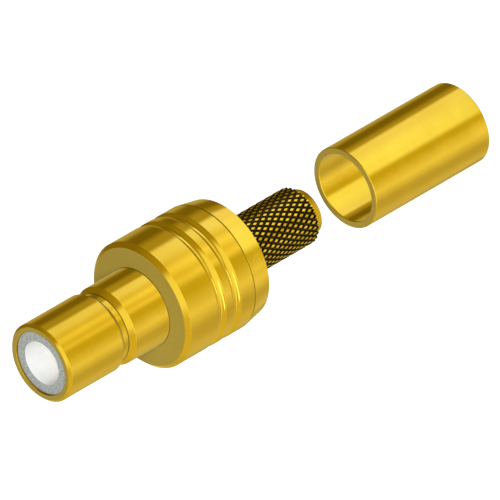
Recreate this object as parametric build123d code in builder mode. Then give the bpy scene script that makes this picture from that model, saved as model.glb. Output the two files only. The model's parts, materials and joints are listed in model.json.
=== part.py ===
from build123d import *
import math
import os

# A straight coaxial jack for crimping onto thin cable, in millimetres.
# It lies along the X axis: the mating face is at x = 0 and the cable end points to +X.

# Nose that a plug is pushed onto
nose_diameter = 3.7
nose_wall = 0.35
nose_length = 6.0
nose_edge = 0.12
snap_start = 3.2
snap_wall = 0.12
snap_front_slope = 0.25
snap_floor = 0.31
snap_rear_slope = 0.24

# Barrel behind the nose, with two finger grooves
barrel_diameter = 6.0
barrel_length = 4.08
barrel_edge = 0.2
grip_count = 2
grip_start = 1.83
grip_pitch = 0.9
grip_width = 0.5
grip_depth = 0.12

# Socket in the rear of the barrel, and the wall between it and the nose
socket_diameter = 4.2
socket_wall = 0.8

# Broken edges that face each other where the two bodies meet
seam_edge = 0.03

# Flange and crimp stem of the rear body
flange_length = 1.04
flange_rim_diameter = 5.62
cable_bore = 1.6
lip_length = 0.47
lip_diameter = 2.5
lip_end_diameter = 2.12

# Diamond knurl on the crimp stem
knurl_diameter = 2.71
knurl_length = 4.51
knurl_depth = 0.1
knurl_starts = 30
knurl_helix_angle = 30
knurl_land_share = 0.5

# Insulator with a hollow front, held by its collar
insulator_recess = 0.1
hollow_diameter = 2.03
hollow_depth = 3.2
collar_length = 1.0

# Centre contact: front pin, shank in the insulator, stop collar and wire barrel
pin_diameter = 0.5
pin_recess = 0.95
pin_edge = 0.12
shank_diameter = 0.9
stop_diameter = 1.3
stop_length = 0.4
wire_barrel_length = 1.8
wire_barrel_diameter = 1.0
wire_hole_diameter = 0.6
wire_hole_depth = 1.6
sight_hole_diameter = 0.3
contact_cavity_diameter = 2.2
contact_cavity_margin = 0.3

# Crimp ferrule, standing off behind the stem
ferrule_diameter = 3.85
ferrule_bore = 3.2
ferrule_length = 7.0
ferrule_edge = 0.05
ferrule_standoff = 2.49

# Radial gap left round each piece that is pressed into another
press_gap = 0.01

# Bore of the nose, which the insulator fills
nose_bore = nose_diameter - 2 * nose_wall

# Stations along the axis
barrel_start = nose_length
joint_face = barrel_start + barrel_length
flange_end = joint_face + flange_length
knurl_end = flange_end + knurl_length
stem_end = knurl_end + lip_length
socket_start = barrel_start + socket_wall
collar_end = socket_start + collar_length
hollow_end = insulator_recess + hollow_depth
stop_end = collar_end + stop_length
contact_end = stop_end + wire_barrel_length
contact_cavity_end = contact_end + contact_cavity_margin
ferrule_start = stem_end + ferrule_standoff

# Valley circle of the knurl, and rows of studs that fill its length
knurl_radius = knurl_diameter / 2
valley_radius = knurl_radius - knurl_depth
stud_angle = 360 / knurl_starts
stud_width = 2 * math.pi * knurl_radius / knurl_starts
stud_length = stud_width / math.tan(math.radians(knurl_helix_angle))
knurl_rows = round(knurl_length / (stud_length / 2))
row_spacing = knurl_length / knurl_rows
apex_radius = valley_radius + knurl_depth / (1 - knurl_land_share)


def stud_point(x, angle, radius):
    """A point of the knurl, by its angle about the axis, measured from +Z."""
    turn = math.radians(angle)
    return Vector(x, radius * math.sin(turn), radius * math.cos(turn))


def stud_rings(row, column):
    """The valley corners of one stud, and the corners of its land, in the same order.

    A stud is a four-sided pyramid whose tip is cut off by its land. Studs of
    alternate rows are half a step apart, and the first and last rows are half studs.
    """
    x = flange_end + row * row_spacing
    angle = (column + (row + 1) % 2 / 2) * stud_angle
    front = stud_point(x - row_spacing, angle, valley_radius)
    rear = stud_point(x + row_spacing, angle, valley_radius)
    left = stud_point(x, angle - stud_angle / 2, valley_radius)
    right = stud_point(x, angle + stud_angle / 2, valley_radius)
    if row == 0:
        valley = [left, rear, right]
    elif row == knurl_rows:
        valley = [right, front, left]
    else:
        valley = [left, rear, right, front]
    apex = stud_point(x, angle, apex_radius)
    land = [apex + (corner - apex) * knurl_land_share for corner in valley]
    return valley, land


def polygon_face(*points):
    return Face(Wire.make_polygon(points, close=True))


def stud_faces(row, column):
    """The flanks and the land of one stud. The land is bent along the axis as the rod is round."""
    valley, land = stud_rings(row, column)
    sides = len(valley)
    flanks = sides if sides == 4 else sides - 1
    faces = []
    for i in range(flanks):
        j = (i + 1) % sides
        faces.append(polygon_face(valley[i], valley[j], land[j], land[i]))
    faces.append(polygon_face(land[0], land[1], land[-1]))
    if sides == 4:
        faces.append(polygon_face(land[1], land[2], land[3]))
    return faces


def knurl_end_face(row):
    """The flat star-shaped end of the knurled rod, through the half studs of its end row."""
    outline = []
    for column in range(knurl_starts):
        valley, land = stud_rings(row, column)
        corner = [valley[0], land[0], land[-1]]
        if row == knurl_rows:
            corner = [valley[-1], land[-1], land[0]]
        outline += corner
    return polygon_face(*outline)


def knurled_rod():
    """The solid knurled length of the stem, from the flange to the lip."""
    faces = [knurl_end_face(0), knurl_end_face(knurl_rows)]
    for row in range(knurl_rows + 1):
        for column in range(knurl_starts):
            faces += stud_faces(row, column)
    return Solid(Shell(faces))


# Turned front body: nose, snap groove and grooved barrel
with BuildPart() as front_body:
    nose_radius = nose_diameter / 2
    snap_radius = nose_bore / 2 + snap_wall
    barrel_radius = barrel_diameter / 2
    snap_floor_start = snap_start + snap_front_slope
    snap_floor_end = snap_floor_start + snap_floor
    with BuildSketch(Plane.XY):
        with BuildLine():
            Polyline(
                (0, nose_bore / 2),
                (0, nose_radius - nose_edge),
                (nose_edge, nose_radius),
                (snap_start, nose_radius),
                (snap_floor_start, snap_radius),
                (snap_floor_end, snap_radius),
                (snap_floor_end + snap_rear_slope, nose_radius),
                (barrel_start, nose_radius),
                (barrel_start, barrel_radius - barrel_edge),
                (barrel_start + barrel_edge, barrel_radius),
                (joint_face - seam_edge, barrel_radius),
                (joint_face, barrel_radius - seam_edge),
                (joint_face, socket_diameter / 2),
                (socket_start, socket_diameter / 2),
                (socket_start, nose_bore / 2),
                close=True,
            )
        make_face()
    revolve(axis=Axis.X)

    # Each finger groove is an arc as wide and as deep as its two sizes say
    grip_arc = (grip_width**2 / 4 + grip_depth**2) / (2 * grip_depth)
    grip_centre = barrel_start + grip_start + grip_width / 2
    with BuildSketch(Plane.XY):
        with Locations((grip_centre, barrel_radius - grip_depth + grip_arc)):
            with Locations(*[(groove * grip_pitch, 0) for groove in range(grip_count)]):
                Circle(grip_arc)
    revolve(axis=Axis.X, mode=Mode.SUBTRACT)
front_body.part.label = "front_body"

# Turned rear body: spigot pressed into the barrel, tapered flange and crimp stem
with BuildPart() as rear_body:
    with BuildSketch(Plane.XY):
        with BuildLine():
            Polyline(
                (collar_end, 0),
                (collar_end, socket_diameter / 2 - press_gap),
                (joint_face, socket_diameter / 2 - press_gap),
                (joint_face, barrel_diameter / 2 - seam_edge),
                (joint_face + seam_edge, barrel_diameter / 2),
                (flange_end, flange_rim_diameter / 2),
                (flange_end, 0),
                close=True,
            )
        make_face()
        with BuildLine():
            Polyline(
                (knurl_end, 0),
                (knurl_end, lip_diameter / 2),
                (stem_end, lip_end_diameter / 2),
                (stem_end, 0),
                close=True,
            )
        make_face()
    revolve(axis=Axis.X)
    add(knurled_rod())

    # Bore for the cable core, and the wider cavity round the contact's wire barrel
    with BuildSketch(Plane.YZ.offset(collar_end)):
        Circle(cable_bore / 2)
    extrude(amount=stem_end - collar_end, mode=Mode.SUBTRACT)
    with BuildSketch(Plane.YZ.offset(collar_end)):
        Circle(contact_cavity_diameter / 2)
    extrude(amount=contact_cavity_end - collar_end, mode=Mode.SUBTRACT)
rear_body.part.label = "rear_body"

# Insulator: a sleeve with a hollow front and a collar caught in the barrel's socket
with BuildPart() as insulator:
    with BuildSketch(Plane.XY):
        with BuildLine():
            Polyline(
                (insulator_recess, hollow_diameter / 2),
                (insulator_recess, nose_bore / 2 - press_gap),
                (socket_start, nose_bore / 2 - press_gap),
                (socket_start, socket_diameter / 2 - press_gap),
                (collar_end, socket_diameter / 2 - press_gap),
                (collar_end, shank_diameter / 2 + press_gap),
                (hollow_end, shank_diameter / 2 + press_gap),
                (hollow_end, hollow_diameter / 2),
                close=True,
            )
        make_face()
    revolve(axis=Axis.X)
insulator.part.label = "insulator"

# Centre contact, with a hole across its wire barrel to see the wire by
with BuildPart() as centre_contact:
    pin_tip = insulator_recess + pin_recess
    with BuildSketch(Plane.XY):
        with BuildLine():
            Polyline(
                (pin_tip, 0),
                (pin_tip, pin_diameter / 2 - pin_edge),
                (pin_tip + pin_edge, pin_diameter / 2),
                (hollow_end, pin_diameter / 2),
                (hollow_end, shank_diameter / 2),
                (collar_end, shank_diameter / 2),
                (collar_end, stop_diameter / 2),
                (stop_end, stop_diameter / 2),
                (stop_end, wire_barrel_diameter / 2),
                (contact_end, wire_barrel_diameter / 2),
                (contact_end, wire_hole_diameter / 2),
                (contact_end - wire_hole_depth, wire_hole_diameter / 2),
                (contact_end - wire_hole_depth, 0),
                close=True,
            )
        make_face()
    revolve(axis=Axis.X)
    with BuildSketch(Plane.XY):
        with Locations((contact_end - wire_hole_depth + sight_hole_diameter, 0)):
            Circle(sight_hole_diameter / 2)
    extrude(amount=wire_barrel_diameter, mode=Mode.SUBTRACT)
centre_contact.part.label = "centre_contact"

# Crimp ferrule: a thin tube with its edges just broken
with BuildPart() as crimp_ferrule:
    with BuildSketch(Plane.YZ.offset(ferrule_start)):
        Circle(ferrule_diameter / 2)
        Circle(ferrule_bore / 2, mode=Mode.SUBTRACT)
    extrude(amount=ferrule_length)
    chamfer(crimp_ferrule.edges().filter_by(GeomType.CIRCLE), ferrule_edge)
crimp_ferrule.part.label = "crimp_ferrule"

os.makedirs("parts", exist_ok=True)
for piece in (front_body, rear_body, insulator, centre_contact, crimp_ferrule):
    export_step(piece.part, f"parts/{piece.part.label}.step")
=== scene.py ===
import json
import math

import bpy
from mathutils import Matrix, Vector


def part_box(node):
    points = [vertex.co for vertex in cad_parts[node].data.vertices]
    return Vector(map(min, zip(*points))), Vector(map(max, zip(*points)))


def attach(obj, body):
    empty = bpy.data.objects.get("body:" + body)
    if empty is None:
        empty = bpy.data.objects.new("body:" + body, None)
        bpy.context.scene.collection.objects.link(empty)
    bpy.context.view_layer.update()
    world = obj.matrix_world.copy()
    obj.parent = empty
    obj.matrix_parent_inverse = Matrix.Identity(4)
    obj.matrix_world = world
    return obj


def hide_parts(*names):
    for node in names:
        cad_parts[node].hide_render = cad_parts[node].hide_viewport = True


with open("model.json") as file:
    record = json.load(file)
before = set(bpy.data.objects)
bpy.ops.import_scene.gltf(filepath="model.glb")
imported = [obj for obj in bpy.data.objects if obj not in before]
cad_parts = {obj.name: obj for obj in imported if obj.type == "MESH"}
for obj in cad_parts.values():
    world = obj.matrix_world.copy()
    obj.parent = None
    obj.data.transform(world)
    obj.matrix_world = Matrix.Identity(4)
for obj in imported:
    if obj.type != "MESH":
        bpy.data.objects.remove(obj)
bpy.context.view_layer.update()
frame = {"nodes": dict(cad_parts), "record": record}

MM = 0.001
PI = math.pi
DEGREE = math.radians(1)
WHITE = (1.0, 1.0, 1.0)


# Sizes, in millimetres

def stations(node):
    """Where a solid begins and ends along the axis, to the micrometre."""
    low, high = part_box(node)
    return round(low.x / MM, 3), round(high.x / MM, 3)


MOUNT_R = {mount["name"]: mount["dims"].get("r_mm") for mount in frame["record"]["mounts"]}

# What the solids and the mounts give
NOSE_FACE, JOINT_FACE = stations("front_body")
INSULATOR_FACE, COLLAR_END = stations("insulator")
STEM_END = stations("rear_body")[1]
CONTACT_END = stations("centre_contact")[1]
FERRULE_START, FERRULE_END = stations("crimp_ferrule")
NOSE_R = MOUNT_R["mating_nose"]
CABLE_R = MOUNT_R["cable_bore"]
FERRULE_BORE_R = MOUNT_R["ferrule_bore"]

# Nose and snap groove
NOSE_WALL = 0.35
NOSE_BORE_R = NOSE_R - NOSE_WALL
NOSE_EDGE = 0.12
NOSE_END = 6.0
SNAP_WALL = 0.12
SNAP_R = NOSE_BORE_R + SNAP_WALL
SNAP_START = 3.2
SNAP_FRONT_SLOPE = 0.25
SNAP_FLOOR = 0.31
SNAP_REAR_SLOPE = 0.24
SNAP_FLOOR_START = SNAP_START + SNAP_FRONT_SLOPE
SNAP_FLOOR_END = SNAP_FLOOR_START + SNAP_FLOOR
SNAP_END = SNAP_FLOOR_END + SNAP_REAR_SLOPE

# Barrel with its finger grooves and its socket
BARREL_R = 3.0
BARREL_EDGE = 0.2
SEAM_EDGE = 0.03
GROOVE_COUNT = 2
GROOVE_SETBACK = 1.83
GROOVE_PITCH = 0.9
GROOVE_HALF = 0.25
GROOVE_DEPTH = 0.12
SOCKET_R = 2.1
SOCKET_WALL = 0.8
SOCKET_START = NOSE_END + SOCKET_WALL
PRESS_GAP = 0.01

# Flange and crimp stem
FLANGE_LENGTH = 1.04
FLANGE_END = JOINT_FACE + FLANGE_LENGTH
FLANGE_RIM_R = 2.81
CAVITY_R = 1.1
CAVITY_MARGIN = 0.3
CAVITY_END = CONTACT_END + CAVITY_MARGIN
LIP_LENGTH = 0.47
LIP_R = 1.25
LIP_END_R = 1.06

# Diamond knurl
KNURL_R = 1.355
KNURL_DEPTH = 0.1
KNURL_END = STEM_END - LIP_LENGTH
KNURL_STARTS = 30
KNURL_ROWS = 18
KNURL_LAND = 0.5

# The turned face of the flange ends this far outside the knurl, and flat faces join the two
KNURL_MARGIN = 0.05

# Insulator and ferrule
HOLLOW_R = 1.015
HOLLOW_DEPTH = 3.2
HOLLOW_END = INSULATOR_FACE + HOLLOW_DEPTH
SHANK_R = 0.45
SHANK_HOLE_R = SHANK_R + PRESS_GAP
FERRULE_R = 1.925
FERRULE_EDGE = 0.05

# How far each turned edge is rounded, and how finely
CRISP = 0.02
FINE = 0.008
NOSE_ROOT = 0.03
HOLLOW_ROOT = 0.05
ROUND_STEPS = 4
ROUND_SHARE = 0.45
GROOVE_STEPS = 12
LATHE_SEGMENTS = 192


# Turned meshes

def around(x, r, turn):
    """A point at x and radius r, by its angle in radians from +Z towards +Y."""
    return Vector((x, r * math.sin(turn), r * math.cos(turn)))


def left_of(a, b):
    """The unit normal on the left of the way from a to b."""
    way = (b - a).normalized()
    return Vector((-way.y, way.x))


def rounded_profile(corners, closed=True):
    """Points (x, r) and unit normals of a profile with rounded corners.

    Each corner is (x, r, radius). A radius of None marks a point on a smooth curve.
    The solid lies on the right of the walk, so normals point to its left. No corner
    takes more than ROUND_SHARE of a side that it ends.
    """
    points = [Vector((x, r)) for x, r, _ in corners]
    profile = []
    for i, (x, r, radius) in enumerate(corners):
        p = points[i]
        before, after = points[i - 1], points[(i + 1) % len(points)]
        if not closed and i == 0:
            profile.append((p, left_of(p, after)))
            continue
        if not closed and i == len(points) - 1:
            profile.append((p, left_of(before, p)))
            continue
        n1, n2 = left_of(before, p), left_of(p, after)
        if radius is None:
            profile.append((p, (n1 + n2).normalized()))
            continue
        side_in, side_out = before - p, after - p
        reach = min(
            radius * math.tan(n1.angle(n2) / 2),
            ROUND_SHARE * side_in.length,
            ROUND_SHARE * side_out.length,
        )
        start = p + side_in.normalized() * reach
        end = p + side_out.normalized() * reach
        for k in range(ROUND_STEPS + 1):
            t = k / ROUND_STEPS
            profile.append((start.lerp(p, t).lerp(p.lerp(end, t), t), n1.slerp(n2, t)))
    return profile


class Surface:
    """Collects vertices, faces and the normal of each face corner."""

    def __init__(self):
        self.verts = []
        self.faces = []
        self.normals = []

    def add(self, points):
        """Adds points, and returns their numbers."""
        start = len(self.verts)
        self.verts.extend(points)
        return list(range(start, start + len(points)))

    def face(self, corners, normals):
        self.faces.append(corners)
        self.normals.extend(normals)

    def flat(self, corners, normal):
        self.face(corners, [normal] * len(corners))

    def lathe(self, profile, count, closed=True):
        """Turns a profile round the axis, and returns its first and last rings."""
        turns = [2 * PI * k / count for k in range(count)]
        rings, sides = [], []
        for p, side in profile:
            rings.append(self.add([around(p.x, p.y, turn) for turn in turns]))
            sides.append([around(side.x, side.y, turn) for turn in turns])
        last = len(rings) if closed else len(rings) - 1
        for i in range(last):
            j = (i + 1) % len(rings)
            for k in range(count):
                m = (k + 1) % count
                self.face(
                    [rings[i][k], rings[j][k], rings[j][m], rings[i][m]],
                    [sides[i][k], sides[j][k], sides[j][m], sides[i][m]],
                )
        return rings[0], rings[-1]

    def bridge(self, a, b, normal):
        """Flat faces between two rings of as many points."""
        count = len(a)
        for k in range(count):
            m = (k + 1) % count
            self.flat([a[k], b[k], b[m], a[m]], normal)

    def object(self, name):
        """The finished object, in metres."""
        mesh = bpy.data.meshes.new(name)
        mesh.from_pydata([v * MM for v in self.verts], [], self.faces)
        mesh.shade_smooth()
        mesh.normals_split_custom_set([n.normalized() for n in self.normals])
        mesh.validate(clean_customdata=False)
        obj = bpy.data.objects.new(name, mesh)
        bpy.context.collection.objects.link(obj)
        return obj


def turned(name, corners):
    surface = Surface()
    surface.lathe(rounded_profile(corners), LATHE_SEGMENTS)
    return surface.object(name)


# Front body

def finger_grooves():
    """An arc as wide and as deep as each groove, with crisp rounded lips."""
    radius = (GROOVE_HALF**2 + GROOVE_DEPTH**2) / (2 * GROOVE_DEPTH)
    swing = math.asin(GROOVE_HALF / radius)
    middle_r = BARREL_R - GROOVE_DEPTH + radius
    corners = []
    for groove in range(GROOVE_COUNT):
        middle_x = NOSE_END + GROOVE_SETBACK + GROOVE_HALF + groove * GROOVE_PITCH
        for k in range(GROOVE_STEPS + 1):
            turn = -swing + 2 * swing * k / GROOVE_STEPS
            x = middle_x + radius * math.sin(turn)
            r = middle_r - radius * math.cos(turn)
            corners.append((x, r, CRISP if k in (0, GROOVE_STEPS) else None))
    return corners


front_body = turned(
    "front_body_turned",
    [
        (NOSE_FACE, NOSE_BORE_R, CRISP),
        (NOSE_FACE, NOSE_R - NOSE_EDGE, CRISP),
        (NOSE_FACE + NOSE_EDGE, NOSE_R, CRISP),
        (SNAP_START, NOSE_R, CRISP),
        (SNAP_FLOOR_START, SNAP_R, CRISP),
        (SNAP_FLOOR_END, SNAP_R, CRISP),
        (SNAP_END, NOSE_R, CRISP),
        (NOSE_END, NOSE_R, NOSE_ROOT),
        (NOSE_END, BARREL_R - BARREL_EDGE, CRISP),
        (NOSE_END + BARREL_EDGE, BARREL_R, CRISP),
        *finger_grooves(),
        (JOINT_FACE - SEAM_EDGE, BARREL_R, FINE),
        (JOINT_FACE, BARREL_R - SEAM_EDGE, FINE),
        (JOINT_FACE, SOCKET_R, FINE),
        (SOCKET_START, SOCKET_R, FINE),
        (SOCKET_START, NOSE_BORE_R, FINE),
    ],
)

# Rear body with its knurl: half a stud's turn in radians, and the spacing of the rows
HALF_STUD = PI / KNURL_STARTS
ROW_SPACING = (KNURL_END - FLANGE_END) / KNURL_ROWS
VALLEY_R = KNURL_R - KNURL_DEPTH
APEX_R = VALLEY_R + KNURL_DEPTH / (1 - KNURL_LAND)

# A bevel joins each stud's land to its flanks. It takes this share of the way from the stud's
# apex to its foot, either side of the land's true edge.
BEVEL = 0.05


def stud(surface, base, x, turn):
    """One stud on its valley points, three at the ends of the knurl and four elsewhere.

    Returns the numbers of the points of its rim, of its land's edge and of its centre.
    """
    apex = around(x, APEX_R, turn)
    top = around(x, KNURL_R, turn)
    outward = around(0, 1, turn)
    foot = [surface.verts[i] for i in base]
    flank_top = [apex + (p - apex) * (KNURL_LAND + BEVEL) for p in foot]
    land = [apex + (p - apex) * (KNURL_LAND - BEVEL) for p in foot]
    land = [p - outward * ((p - top).dot(outward)) for p in land]
    rim = surface.add(flank_top)
    edge = surface.add(land)
    centre = surface.add([top])[0]
    sides = len(base)
    flanks = sides if sides == 4 else sides - 1
    for i in range(flanks):
        j = (i + 1) % sides
        flank = (foot[j] - foot[i]).cross(flank_top[j] - foot[i]).normalized()
        if flank.dot(outward) < 0:
            flank = -flank
        surface.flat([base[i], base[j], rim[j], rim[i]], flank)
        surface.face([rim[i], rim[j], edge[j], edge[i]], [flank, flank, outward, outward])
        surface.flat([edge[i], edge[j], centre], outward)
    return rim, edge, centre


def knurl(surface):
    """The closed lattice of studs. Returns the star-shaped rings at its two ends."""
    crossings = {}

    def crossing(row, half_column):
        """A crossing of the grooves, shared by the studs round it."""
        key = (row, half_column % (2 * KNURL_STARTS))
        if key not in crossings:
            point = around(FLANGE_END + row * ROW_SPACING, VALLEY_R, half_column * HALF_STUD)
            crossings[key] = surface.add([point])[0]
        return crossings[key]

    star_front, star_rear = [], []
    for row in range(KNURL_ROWS + 1):
        x = FLANGE_END + row * ROW_SPACING
        for column in range(KNURL_STARTS):
            half = 2 * column + (row + 1) % 2
            left, right = crossing(row, half - 1), crossing(row, half + 1)
            if row == 0:
                base = [left, crossing(row + 1, half), right]
            elif row == KNURL_ROWS:
                base = [right, crossing(row - 1, half), left]
            else:
                base = [left, crossing(row + 1, half), right, crossing(row - 1, half)]
            rim, edge, centre = stud(surface, base, x, half * HALF_STUD)
            if row == 0:
                star_front += [base[0], rim[0], edge[0], centre, edge[2], rim[2]]
            elif row == KNURL_ROWS:
                star_rear += [base[2], rim[2], edge[2], centre, edge[0], rim[0]]
    return star_front, star_rear


def turned_and_knurled(name, corners):
    """The knurl, and the turned profile that runs from its rear end to its front end."""
    surface = Surface()
    star_front, star_rear = knurl(surface)
    first, last = surface.lathe(
        rounded_profile(corners, closed=False), len(star_front), closed=False
    )
    rearward = Vector((1, 0, 0))
    surface.bridge(last, star_front, rearward)
    surface.bridge(star_rear, first, rearward)
    return surface.object(name)


rear_body = turned_and_knurled(
    "rear_body_turned",
    [
        (KNURL_END, LIP_R, None),
        (STEM_END, LIP_END_R, CRISP),
        (STEM_END, CABLE_R, CRISP),
        (CAVITY_END, CABLE_R, FINE),
        (CAVITY_END, CAVITY_R, FINE),
        (COLLAR_END, CAVITY_R, FINE),
        (COLLAR_END, SOCKET_R - PRESS_GAP, FINE),
        (JOINT_FACE, SOCKET_R - PRESS_GAP, FINE),
        (JOINT_FACE, BARREL_R - SEAM_EDGE, FINE),
        (JOINT_FACE + SEAM_EDGE, BARREL_R, FINE),
        (FLANGE_END, FLANGE_RIM_R, CRISP),
        (FLANGE_END, KNURL_R + KNURL_MARGIN, None),
    ],
)

# Insulator and ferrule

insulator = turned(
    "insulator_turned",
    [
        (INSULATOR_FACE, HOLLOW_R, CRISP),
        (INSULATOR_FACE, NOSE_BORE_R - PRESS_GAP, CRISP),
        (SOCKET_START, NOSE_BORE_R - PRESS_GAP, FINE),
        (SOCKET_START, SOCKET_R - PRESS_GAP, FINE),
        (COLLAR_END, SOCKET_R - PRESS_GAP, FINE),
        (COLLAR_END, SHANK_HOLE_R, FINE),
        (HOLLOW_END, SHANK_HOLE_R, FINE),
        (HOLLOW_END, HOLLOW_R, HOLLOW_ROOT),
    ],
)

ferrule = turned(
    "crimp_ferrule_tube",
    [
        (FERRULE_START, FERRULE_BORE_R, FERRULE_EDGE),
        (FERRULE_START, FERRULE_R, FERRULE_EDGE),
        (FERRULE_END, FERRULE_R, FERRULE_EDGE),
        (FERRULE_END, FERRULE_BORE_R, FERRULE_EDGE),
    ],
)


# Node trees

# Numbers of the Mix node's sockets: the factor, the two inputs and the output of each type
MIX_SOCKETS = {"FLOAT": (0, 2, 3, 0), "RGBA": (0, 6, 7, 2)}
NOISE_DETAIL = 3.0


class Tree:
    """The nodes of a material or of the world, with short ways to add to them."""

    def __init__(self, owner, empty=False):
        owner.use_nodes = True
        self.nodes = owner.node_tree.nodes
        self.links = owner.node_tree.links
        if empty:
            self.nodes.clear()

    def feed(self, node, inputs):
        """Gives inputs, by name or number, a value or another node's output."""
        for key, value in inputs.items():
            socket = node.inputs[key]
            if isinstance(value, bpy.types.NodeSocket):
                self.links.new(value, socket)
            elif socket.type == "RGBA":
                socket.default_value = (*value, 1.0)
            else:
                socket.default_value = value

    def add(self, kind, inputs=None, **settings):
        node = self.nodes.new(kind)
        for name, value in settings.items():
            setattr(node, name, value)
        self.feed(node, inputs or {})
        return node

    def calc(self, operation, *values):
        node = self.add("ShaderNodeMath", dict(enumerate(values)), operation=operation)
        return node.outputs["Value"]

    def product(self, *masks):
        result = masks[0]
        for mask in masks[1:]:
            result = self.calc("MULTIPLY", result, mask)
        return result

    def remap(self, source, low, high, out_low=0.0, out_high=1.0):
        """Maps one range of values onto another, and goes no further than its ends."""
        inputs = {
            "Value": source,
            "From Min": low,
            "From Max": high,
            "To Min": out_low,
            "To Max": out_high,
        }
        return self.add("ShaderNodeMapRange", inputs).outputs["Result"]

    def window(self, source, rise, fall, unit=1.0):
        """A mask that rises from 0 to 1 over one range and falls back over another."""
        up = self.remap(source, rise[0] * unit, rise[1] * unit)
        down = self.remap(source, fall[0] * unit, fall[1] * unit, 1.0, 0.0)
        return self.calc("MULTIPLY", up, down)

    def mix(self, kind, factor, a, b):
        *inputs, output = MIX_SOCKETS[kind]
        node = self.add("ShaderNodeMix", dict(zip(inputs, (factor, a, b))), data_type=kind)
        return node.outputs[output]

    def mix_value(self, factor, a, b):
        return self.mix("FLOAT", factor, a, b)

    def mix_colour(self, factor, a, b):
        return self.mix("RGBA", factor, a, b)

    def split(self, vector):
        node = self.add("ShaderNodeSeparateXYZ", {"Vector": vector})
        return node.outputs["X"], node.outputs["Y"], node.outputs["Z"]

    def noise(self, scale, stretch=(1, 1, 1)):
        """Noise by the object's own coordinates, finer along an axis that is stretched more."""
        place = self.add("ShaderNodeTexCoord").outputs["Object"]
        mapping = self.add("ShaderNodeMapping", {"Vector": place, "Scale": stretch})
        inputs = {"Vector": mapping.outputs["Vector"], "Scale": scale, "Detail": NOISE_DETAIL}
        return self.add("ShaderNodeTexNoise", inputs).outputs["Fac"]

    def bump(self, height, strength, distance):
        inputs = {"Height": height, "Strength": strength, "Distance": distance}
        return self.add("ShaderNodeBump", inputs).outputs["Normal"]

    def place_on_piece(self):
        """The distance along the axis, the distance from it, and how far a face looks along it."""
        place = self.add("ShaderNodeTexCoord")
        x, y, z = self.split(place.outputs["Object"])
        across = self.add("ShaderNodeCombineXYZ", {"Y": y, "Z": z}).outputs["Vector"]
        radius = self.add("ShaderNodeVectorMath", {0: across}, operation="LENGTH")
        facing_x = self.split(place.outputs["Normal"])[0]
        return x, radius.outputs["Value"], self.calc("ABSOLUTE", facing_x)

    def near_circles(self, along, radius, circles):
        """A mask that is 1 at the given circles round the axis and fades out at their reach."""
        place = self.add("ShaderNodeCombineXYZ", {"X": along, "Y": radius}).outputs["Vector"]
        mask = 0.0
        for x, r, reach in circles:
            circle = (x * MM, r * MM, 0)
            away = self.add("ShaderNodeVectorMath", {0: place, 1: circle}, operation="DISTANCE")
            distance = away.outputs["Value"]
            near = self.remap(distance, CORNER_CORE * MM, reach * MM, 1.0, 0.0)
            mask = self.calc("MAXIMUM", mask, near)
        return mask


def new_material(name):
    """A material with its tree and its main shader."""
    material = bpy.data.materials.new(name)
    tree = Tree(material)
    return material, tree, tree.nodes["Principled BSDF"]


# Circles (x, r) of the inner corners and joints, which are painted dark for shade and grime, and
# their reach
CORNER_CORE = 0.012
CORNER_REACH = 0.032
SEAM_REACH = 0.045
RECESS_REACH = 0.11
SEAM = (JOINT_FACE, BARREL_R - SEAM_EDGE, SEAM_REACH)
INNER_CORNERS = (
    (SNAP_FLOOR_START, SNAP_R, CORNER_REACH),
    (SNAP_FLOOR_END, SNAP_R, CORNER_REACH),
    (NOSE_END, NOSE_R, CORNER_REACH),
    (INSULATOR_FACE, NOSE_BORE_R, RECESS_REACH),
    SEAM,
)
STEM_CORNERS = (
    SEAM,
    (FLANGE_END, KNURL_R, CORNER_REACH),
    (KNURL_END, LIP_R, CORNER_REACH),
)
INSULATOR_RIM = ((INSULATOR_FACE, NOSE_BORE_R, CORNER_REACH),)

# Gold: its two tints, the rings left by the tool, the satin of the flat faces, and the painted
# shade and grime of its corners
GOLD = (0.605, 0.40, 0.046)
GOLD_DEEP = (0.575, 0.375, 0.039)
GOLD_EDGE = (0.95, 0.88, 0.70)
GOLD_ROUGHNESS = (0.09, 0.15)
CLOUD_SCALE = 700
CLOUD_RANGE = (0.35, 0.65)
RING_STRETCH = (26000, 160, 160)
RING_RANGE = (0.3, 0.7)
RING_BUMP = 0.05
RING_HEIGHT = 0.000004
SATIN_FACING = (0.96, 0.995)
GOLD_SATIN = (0.433, 0.312, 0.0425)
SATIN_ROUGHNESS = 0.48
SATIN_METAL = 0.45
CREVICE_SHADE_AND_GRIME = (0.10, 0.065, 0.01)
CREVICE_SHADE_ROUGHNESS = 0.4

# Painted shade in the knurl's grooves: it begins and ends over these ranges along the axis and
# from it
KNURL_SHADE = (0.012, 0.007, 0.002)
KNURL_SHADE_ROUGHNESS = 0.5
KNURL_SHADE_START = (FLANGE_END, FLANGE_END + 0.01)
KNURL_SHADE_END = (KNURL_END - 0.005, KNURL_END)
KNURL_SHADE_INNER = (CABLE_R + 0.1, CABLE_R + 0.2)
KNURL_SHADE_OUTER = (KNURL_R - 0.05 * KNURL_DEPTH, KNURL_R)


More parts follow.
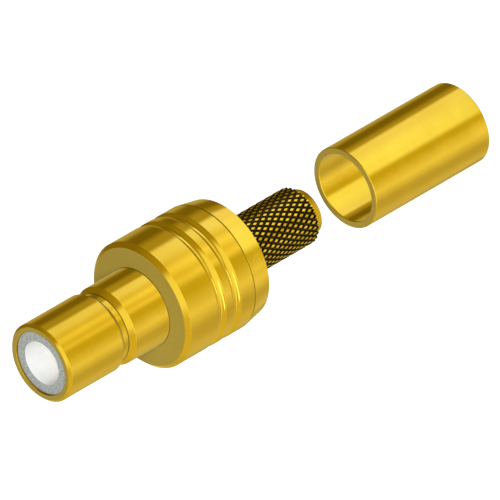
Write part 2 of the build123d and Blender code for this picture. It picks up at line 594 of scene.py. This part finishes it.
def gold_material(name, corners, knurled=False):
    """Bright gold plating over turned brass: fine rings from the tool, faint tint changes."""
    material, tree, shader = new_material(name)
    along, radius, facing = tree.place_on_piece()
    rings = tree.noise(1.0, RING_STRETCH)
    tint = tree.remap(tree.noise(CLOUD_SCALE), *CLOUD_RANGE)
    base = tree.mix_colour(tint, GOLD, GOLD_DEEP)
    rough = tree.remap(rings, *RING_RANGE, *GOLD_ROUGHNESS)

    # Flat faces keep the satin finish of the facing tool
    satin = tree.remap(facing, *SATIN_FACING)
    base = tree.mix_colour(satin, base, GOLD_SATIN)
    rough = tree.mix_value(satin, rough, SATIN_ROUGHNESS)
    metal = tree.mix_value(satin, 1.0, SATIN_METAL)
    if knurled:
        # The grooves of the knurl are painted near-black as shade and made dull, so only the lands
        # are bright
        groove = tree.product(
            tree.window(along, KNURL_SHADE_START, KNURL_SHADE_END, MM),
            tree.window(radius, KNURL_SHADE_INNER, KNURL_SHADE_OUTER, MM),
        )
        base = tree.mix_colour(groove, base, KNURL_SHADE)
        rough = tree.mix_value(groove, rough, KNURL_SHADE_ROUGHNESS)
    # Painted shade and grime darken the given inner corners and joints
    crevice_shade_and_grime = tree.near_circles(along, radius, corners)
    inputs = {
        "Base Color": tree.mix_colour(crevice_shade_and_grime, base, CREVICE_SHADE_AND_GRIME),
        "Roughness": tree.mix_value(crevice_shade_and_grime, rough, CREVICE_SHADE_ROUGHNESS),
        "Metallic": metal,
        "Specular Tint": GOLD_EDGE,
        "Normal": tree.bump(rings, RING_BUMP, RING_HEIGHT),
    }
    tree.feed(shader, inputs)
    return material


# Fluoropolymer: its cloudy white, the grey of its front face, which is painted shade with a grain
# in it, and the painted shade of its rim
PTFE = (0.90, 0.92, 0.96)
PTFE_SHADE = (0.87, 0.89, 0.93)
PTFE_SHADED_FACE = (0.435, 0.46, 0.445)
PTFE_SHADED_GRAIN = (0.285, 0.305, 0.29)
PTFE_GAP_SHADE = (0.10, 0.09, 0.07)
PTFE_ROUGHNESS = (0.42, 0.55)
PTFE_IOR = 1.35
PTFE_SCATTER = 0.25
PTFE_SCATTER_DEPTH = 0.0002
SPECK_SCALE = 5200
SPECK_TINT_RANGE = (0.35, 0.65)
SPECK_ROUGH_RANGE = (0.3, 0.7)
SPECK_BUMP = 0.15
SPECK_HEIGHT = 0.00001
SHADED_FACE_FACING = (0.9, 0.99)
GRAIN_SCALE = 11000
GRAIN_RANGE = (0.42, 0.58)


def ptfe_material():
    """Smooth white fluoropolymer, slightly cloudy, that light gets a little way into."""
    material, tree, shader = new_material("ptfe_white")
    along, radius, facing = tree.place_on_piece()
    specks = tree.noise(SPECK_SCALE)
    base = tree.mix_colour(tree.remap(specks, *SPECK_TINT_RANGE), PTFE, PTFE_SHADE)
    grain = tree.remap(tree.noise(GRAIN_SCALE), *GRAIN_RANGE)
    # The front face is painted grey as shade, with a grain in it
    face = tree.mix_colour(grain, PTFE_SHADED_FACE, PTFE_SHADED_GRAIN)
    base = tree.mix_colour(tree.remap(facing, *SHADED_FACE_FACING), base, face)
    # Painted shade darkens the rim of the insulator, at its gap to the nose
    gap_shade = tree.near_circles(along, radius, INSULATOR_RIM)
    inputs = {
        "Base Color": tree.mix_colour(gap_shade, base, PTFE_GAP_SHADE),
        "Roughness": tree.remap(specks, *SPECK_ROUGH_RANGE, *PTFE_ROUGHNESS),
        "IOR": PTFE_IOR,
        "Subsurface Weight": PTFE_SCATTER,
        "Subsurface Radius": (1.0, 1.0, 1.0),
        "Subsurface Scale": PTFE_SCATTER_DEPTH,
        "Normal": tree.bump(specks, SPECK_BUMP, SPECK_HEIGHT),
    }
    tree.feed(shader, inputs)
    return material


gold = gold_material("gold_turned", INNER_CORNERS)
gold_knurled = gold_material("gold_knurled", STEM_CORNERS, knurled=True)
ptfe = ptfe_material()

# The gold mirrors the light tent alone, so the pieces and the contact aren't seen in it
for piece, node, body, slot, material in (
    (front_body, "front_body", "connector", "gold", gold),
    (rear_body, "rear_body", "connector", "gold", gold_knurled),
    (insulator, "insulator", "connector", "ptfe", ptfe),
    (ferrule, "crimp_ferrule", "ferrule", "gold", gold),
):
    piece.data.materials.append(material)
    piece.visible_glossy = False
    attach(piece, body)
    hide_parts(node)

contact = frame["nodes"]["centre_contact"]
contact.visible_glossy = False
for material_slot in contact.material_slots:
    material_slot.material = gold

# Floor: pale, with a glow that only the camera sees, which makes it come out white
FLOOR_SIZE = 4.0
FLOOR_Z = -0.03
FLOOR_COLOUR = (0.8, 0.8, 0.8)
FLOOR_ROUGHNESS = 0.9
FLOOR_LIFT = 0.75

bpy.ops.mesh.primitive_plane_add(size=FLOOR_SIZE, location=(0, 0, FLOOR_Z))
floor = bpy.context.object
floor.name = "floor"
floor.visible_glossy = False
floor_white, tree, shader = new_material("floor_white")
path = tree.add("ShaderNodeLightPath")
inputs = {
    "Base Color": FLOOR_COLOUR,
    "Roughness": FLOOR_ROUGHNESS,
    "Specular IOR Level": 0.0,
    "Emission Color": WHITE,
    "Emission Strength": tree.calc("MULTIPLY", path.outputs["Is Camera Ray"], FLOOR_LIFT),
}
tree.feed(shader, inputs)
floor.data.materials.append(floor_white)

# A light tent, which is all that glossy rays see. Its panels go by angle round the connector's
# axis, in degrees from straight up towards +Y: a pale floor, a strip lamp, an amber gap, a wide
# soft box overhead, a flag that casts the dark band, and the back wall.
FLOOR_GLOW = (0.94, 0.88, 0.42)
FLOOR_SHEEN = (1.02, 0.97, 0.57)
FLOOR_EDGE = (0.87, 0.81, 0.44)
STRIP_LAMP = (1.43, 1.40, 0.94)
AMBER_GAP = (0.97, 0.86, 0.10)
FLAG_EDGE = (0.66, 0.57, 0.13)
FLAG = (0.30, 0.24, 0.02)
BACK_WALL = (0.64, 0.56, 0.17)
BACK_SHADE = (0.62, 0.57, 0.18)

# The soft box holds three tubes with dimmer gaps between them: low tube, low gap, middle
# tube, high gap, high tube. Its far end, which the taper and the ferrule mirror, has no gaps.
BOX_MIDDLE = (
    (1.66, 1.60, 0.83),
    (1.38, 1.29, 0.45),
    (1.76, 1.76, 1.15),
    (1.38, 1.32, 0.62),
    (1.60, 1.70, 1.90),
)
BOX_FAR = (
    (1.74, 1.90, 1.40),
    (1.74, 1.93, 1.55),
    (1.74, 1.95, 1.62),
    (1.70, 1.88, 1.60),
    (1.54, 1.58, 1.48),
)

# The near end of the box keeps these shares of the red, green and blue of its middle
NEAR_END_DIMS = (0.88, 0.84, 0.58)
BOX_NEAR = tuple(tuple(c * dim for c, dim in zip(rgb, NEAR_END_DIMS)) for rgb in BOX_MIDDLE)

# How the panels beside the far end of the box are squeezed and, in degrees, shifted
FAR_SQUEEZE = 0.91
FAR_SHIFT = -5.0


def tent_panels(box, squeeze=1.0, shift=0.0):
    """Stops of the tent, as degrees and colours, with the five colours of the soft box.

    The panels below and above the box can be squeezed and shifted.
    """
    low_tube, low_gap, middle_tube, high_gap, high_tube = box

    def moved(degrees):
        return degrees * squeeze + shift

    return [
        (-180, FLOOR_GLOW),
        (moved(-162), FLOOR_SHEEN),
        (moved(-142), FLOOR_EDGE),
        (moved(-126), FLOOR_EDGE),
        (moved(-98), STRIP_LAMP),
        (moved(-64), AMBER_GAP),
        (moved(-52), AMBER_GAP),
        (moved(-41), low_tube),
        (-31, low_gap),
        (-17, middle_tube),
        (-5, high_gap),
        (10, high_tube),
        (26, high_tube),
        (33, FLAG_EDGE),
        (moved(47), FLAG_EDGE),
        (moved(62), FLAG),
        (moved(82), FLAG),
        (moved(98), BACK_WALL),
        (moved(155), BACK_SHADE),
        (180, FLOOR_GLOW),
    ]


# The front of the tent, which the chamfers and the rear walls of the finger grooves mirror
FRONT_PANELS = [
    (-180, FLOOR_GLOW),
    (-165, (1.10, 0.98, 0.36)),
    (-110, (1.10, 0.98, 0.32)),
    (-85, (1.62, 1.70, 1.20)),
    (-25, (1.55, 1.58, 0.90)),
    (-8, (0.74, 0.60, 0.06)),
    (15, (0.64, 0.53, 0.06)),
    (35, (0.53, 0.44, 0.04)),
    (55, (0.37, 0.30, 0.03)),
    (110, (0.37, 0.30, 0.03)),
    (140, (0.60, 0.50, 0.15)),
    (180, FLOOR_GLOW),
]

# The end wall beyond the ferrule, which the lip of the stem mirrors
END_PANELS = [
    (-180, (0.94, 0.82, 0.30)),
    (-120, (1.08, 0.98, 0.34)),
    (-45, (1.00, 0.88, 0.26)),
    (0, (0.80, 0.68, 0.20)),
    (20, (0.70, 0.59, 0.16)),
    (40, (0.50, 0.42, 0.08)),
    (60, (0.36, 0.29, 0.04)),
    (110, FLAG),
    (180, (0.94, 0.82, 0.30)),
]

# Along the axis the tent goes by x, from -1 at its front to 1 at its end. The ranges of x
# over which its panels pass into the next ones:
MIDDLE_FADE = (0.50, 0.545)
FAR_FADE = (0.575, 0.61)
FRONT_FADE = (0.46, 0.36)
END_FADE = (0.845, 0.865)

# The bands lie askew: from the x that a cylinder mirrors they turn by so many radians for each
# unit of x, and by more beyond it. There they also close in on -BAND_TURN, up to a limit.
CYLINDER_X = 0.577
BAND_TURN = 0.175
BAND_SKEW = -0.52
FAR_SKEW = -0.23
NARROWING = -1.43
NARROWING_LIMIT = 0.25
FRONT_SKEW = 1.4
FRONT_SKEW_START = -0.1

# A dim patch for the front walls of the finger grooves, with the glow of the end wall: the
# ranges over which x, and then the degrees, enter and leave it
PATCH_X = ((0.668, 0.678), (0.77, 0.785))
PATCH_DEGREES = ((-56, -50), (5, 11))

# The low corner of the tent that the flat front faces mirror: its glow, and ranges of x, y, z
CORNER_GLOW = (0.60, 0.62, 0.60)
CORNER_FADES = ((-0.2, -0.4), (0.1, 0.3), (-0.1, -0.3))

# Two slot lamps draw glints in the grooves: the range of x, of degrees, and the glow of each
SLOT_LAMPS = (
    ((0.705, 0.76), (-96, -70), (4.5, 4.8, 5.1)),
    ((-0.56, -0.36), (-118, -76), (3.0, 3.2, 3.4)),
)
SLOT_FADE_X = 0.02
SLOT_FADE_TURN = 0.1

TENT_RADIUS = 0.1
TENT_CENTRE = (0.0126, 0, 0)
TENT_SEGMENTS = 48
TENT_RINGS = 24


def panel_glow(tree, angle, stops):
    """The colour of a list of panels at an angle, in radians from -pi to pi."""
    ramp = tree.add("ShaderNodeValToRGB", {"Fac": tree.calc("MULTIPLY_ADD", angle, 0.5 / PI, 0.5)})
    elements = ramp.color_ramp.elements
    while len(elements) < len(stops):
        elements.new(1.0)
    for element, (degrees, rgb) in zip(elements, stops):
        element.position = (degrees + 180) / 360
        element.color = (*rgb, 1.0)
    return ramp.outputs["Color"]


def skewed_bands(tree, x, angle):
    """The angle that the panels go by."""
    past = tree.calc("SUBTRACT", x, CYLINDER_X)
    beyond = tree.calc("MAXIMUM", past, 0.0)
    turn = tree.calc("MULTIPLY_ADD", past, BAND_SKEW, BAND_TURN)
    turn = tree.calc("MULTIPLY_ADD", beyond, FAR_SKEW, turn)
    level = tree.calc("WRAP", tree.calc("ADD", angle, turn), PI, -PI)
    closing = tree.calc("MINIMUM", beyond, NARROWING_LIMIT)
    width = tree.calc("MULTIPLY_ADD", closing, NARROWING, 1.0)
    return tree.calc("MULTIPLY_ADD", level, width, -BAND_TURN)


def skewed_front(tree, x, angle):
    """The angle that the front panels go by."""
    past = tree.calc("MAXIMUM", tree.calc("SUBTRACT", x, FRONT_SKEW_START), 0.0)
    return tree.calc("WRAP", tree.calc("MULTIPLY_ADD", past, FRONT_SKEW, angle), PI, -PI)


def slot_mask(tree, x, angle, x_range, degree_range):
    x_low, x_high = x_range
    low, high = (math.radians(degrees) for degrees in degree_range)
    return tree.product(
        tree.window(x, (x_low - SLOT_FADE_X, x_low), (x_high, x_high + SLOT_FADE_X)),
        tree.window(angle, (low - SLOT_FADE_TURN, low), (high, high + SLOT_FADE_TURN)),
    )


def tent_material():
    """The glow of the tent, by the direction from its centre."""
    material = bpy.data.materials.new("tent")
    material.cycles.emission_sampling = "NONE"
    tree = Tree(material, empty=True)
    place = tree.add("ShaderNodeTexCoord").outputs["Object"]
    way = tree.add("ShaderNodeVectorMath", {0: place}, operation="NORMALIZE")
    x, y, z = tree.split(way.outputs["Vector"])
    angle = tree.calc("ARCTAN2", y, z)

    bands = skewed_bands(tree, x, angle)
    middle = panel_glow(tree, bands, tent_panels(BOX_MIDDLE))
    far = panel_glow(tree, bands, tent_panels(BOX_FAR, FAR_SQUEEZE, FAR_SHIFT))
    front = panel_glow(tree, skewed_front(tree, x, angle), FRONT_PANELS)
    end = panel_glow(tree, angle, END_PANELS)
    glow = panel_glow(tree, bands, tent_panels(BOX_NEAR))
    for fade, panels in (
        (MIDDLE_FADE, middle),
        (FAR_FADE, far),
        (FRONT_FADE, front),
        (END_FADE, end),
    ):
        glow = tree.mix_colour(tree.remap(x, *fade), glow, panels)

    patch = tree.product(tree.window(x, *PATCH_X), tree.window(angle, *PATCH_DEGREES, DEGREE))
    glow = tree.mix_colour(patch, glow, end)
    corner = tree.product(*(tree.remap(v, *fade) for v, fade in zip((x, y, z), CORNER_FADES)))
    glow = tree.mix_colour(corner, glow, CORNER_GLOW)
    for x_range, degree_range, lamp_glow in SLOT_LAMPS:
        slot = slot_mask(tree, x, angle, x_range, degree_range)
        glow = tree.mix_colour(slot, glow, lamp_glow)

    emission = tree.add("ShaderNodeEmission", {"Color": glow})
    tree.add("ShaderNodeOutputMaterial", {"Surface": emission.outputs["Emission"]})
    return material


bpy.ops.mesh.primitive_uv_sphere_add(
    segments=TENT_SEGMENTS, ring_count=TENT_RINGS, radius=TENT_RADIUS, location=TENT_CENTRE
)
tent = bpy.context.object
tent.name = "light_tent"
tent.visible_camera = False
tent.visible_diffuse = False
tent.visible_transmission = False
tent.visible_volume_scatter = False
tent.visible_shadow = False
tent.data.materials.append(tent_material())

# World: white to camera, transmission and glossy rays, and a faint fill for the rest
FILL = 0.12
SEEN_BY = ("Is Camera Ray", "Is Transmission Ray", "Is Glossy Ray")

world = bpy.data.worlds.new("studio")
bpy.context.scene.world = world
tree = Tree(world, empty=True)
path = tree.add("ShaderNodeLightPath")
seen = 0.0
for ray in SEEN_BY:
    seen = tree.calc("MAXIMUM", seen, path.outputs[ray])
inputs = {"Color": WHITE, "Strength": tree.calc("MULTIPLY_ADD", seen, 1 - FILL, FILL)}
background = tree.add("ShaderNodeBackground", inputs)
tree.add("ShaderNodeOutputWorld", {"Surface": background.outputs["Background"]})

# Lamps
LAMP_AIM = Vector((0.012, 0, 0))
LAMP_DISTANCE = 0.6


def area_lamp(name, towards, size, level):
    """A square lamp that lights a facing white surface to the given level."""
    light = bpy.data.lights.new(name, "AREA")
    light.size = size
    light.energy = PI**2 * LAMP_DISTANCE**2 * level
    lamp = bpy.data.objects.new(name, light)
    bpy.context.collection.objects.link(lamp)
    way = Vector(towards).normalized()
    lamp.location = LAMP_AIM + way * LAMP_DISTANCE
    lamp.rotation_mode = "QUATERNION"
    lamp.rotation_quaternion = way.to_track_quat("Z", "Y")
    lamp.visible_camera = False
    lamp.visible_glossy = False


area_lamp("key", towards=(-0.70, -0.51, 0.50), size=0.2, level=0.94)
area_lamp("top", towards=(0.5, -0.1, 0.86), size=0.4, level=0.2)

# Camera: a very long lens, because the photograph is a parallel view along the body diagonal.
# AIM is the point in the middle of the frame, which shows FRAME_WIDTH metres across there.
AIM = Vector((0.0125615, -0.0001819, -0.0001883))
TO_CAMERA = Vector((-1, -1, 1)).normalized()
FRAME_WIDTH = 0.021645
SENSOR_WIDTH = 36
LENS = 1600
CLIP_NEAR = 0.01
CLIP_FAR = 100

camera_data = bpy.data.cameras.new("camera")
camera_data.sensor_width = SENSOR_WIDTH
camera_data.lens = LENS
camera_data.clip_start = CLIP_NEAR
camera_data.clip_end = CLIP_FAR
camera = bpy.data.objects.new("camera", camera_data)
bpy.context.collection.objects.link(camera)
camera.location = AIM + TO_CAMERA * (LENS * FRAME_WIDTH / SENSOR_WIDTH)
camera.rotation_mode = "QUATERNION"
camera.rotation_quaternion = TO_CAMERA.to_track_quat("Z", "Y")
bpy.context.scene.camera = camera

bpy.context.scene.view_settings.view_transform = "Standard"
